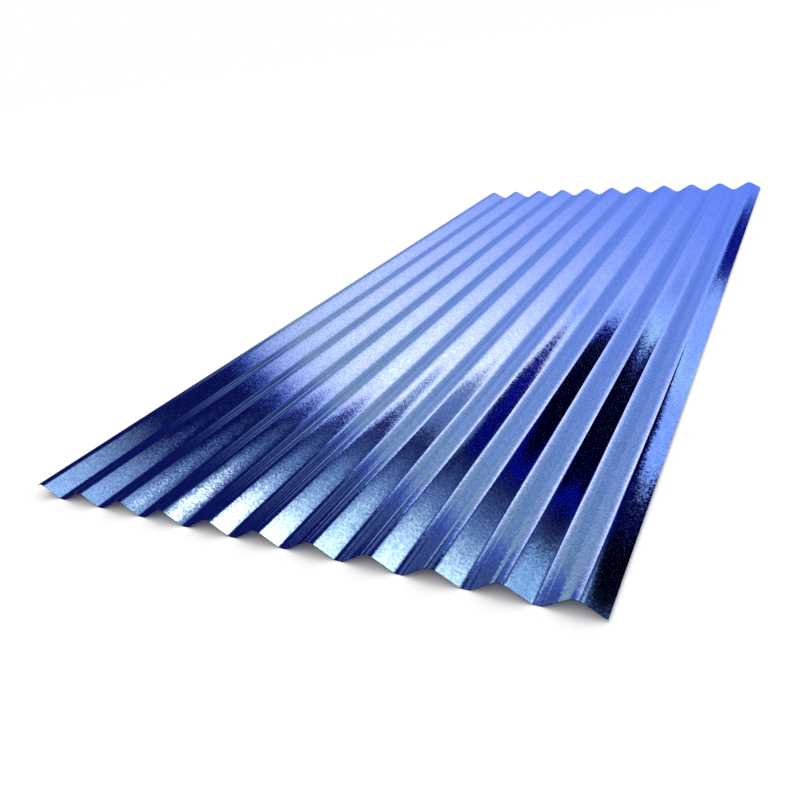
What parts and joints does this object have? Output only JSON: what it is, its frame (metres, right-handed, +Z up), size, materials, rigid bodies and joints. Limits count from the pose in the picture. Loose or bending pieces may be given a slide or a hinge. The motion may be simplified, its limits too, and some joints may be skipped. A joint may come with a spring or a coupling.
{
  "type": "corrugated metal sheet",
  "caption": "Galvanised steel sheet rolled into a straight wave of rounded crests and straight flanks; lies flat and laps side to side as roofing, cladding or fencing.",
  "frame": {"origin": "on the floor under the middle of the sheet's length and width", "axes": "+Y along the corrugations, +X across them from the lapping edge to the tucked edge, +Z up"},
  "size_m": [0.798, 1.8, 0.0185],
  "materials": {
    "galvanised_steel": "hot-dip galvanised steel with a fine zinc spangle, bright and cold blue in tone"
  },
  "bodies": {
    "root": {"corrugated_sheet": "galvanised_steel"}
  },
  "joints": []
}
